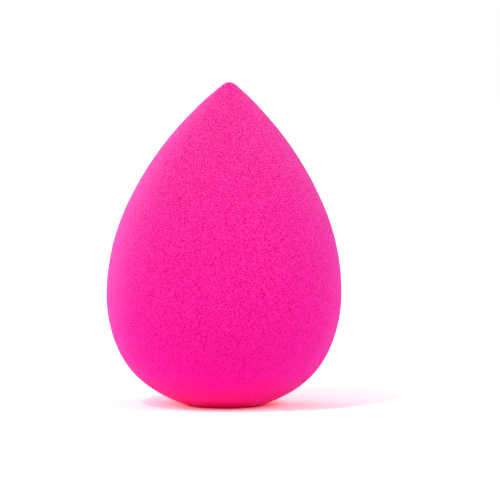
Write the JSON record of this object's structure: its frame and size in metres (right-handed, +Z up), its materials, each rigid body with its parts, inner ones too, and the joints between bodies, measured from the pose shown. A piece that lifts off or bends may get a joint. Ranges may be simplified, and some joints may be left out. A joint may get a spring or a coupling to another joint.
{
  "type": "makeup sponge",
  "caption": "Teardrop makeup sponge of soft fine-celled foam, with a pointed tip for corners and a broad round end for blending.",
  "frame": {"origin": "centre of the small flat under the round end, on the surface that the sponge stands on", "axes": "+Z up from that surface to the tip; the sponge's own axis leans 1.5 degrees from +Z towards +X; -Y faces the picture's camera"},
  "size_m": [0.0437, 0.0436, 0.06],
  "materials": {
    "foam": "matte"
  },
  "bodies": {
    "root": {"sponge_body": "foam"}
  },
  "joints": []
}
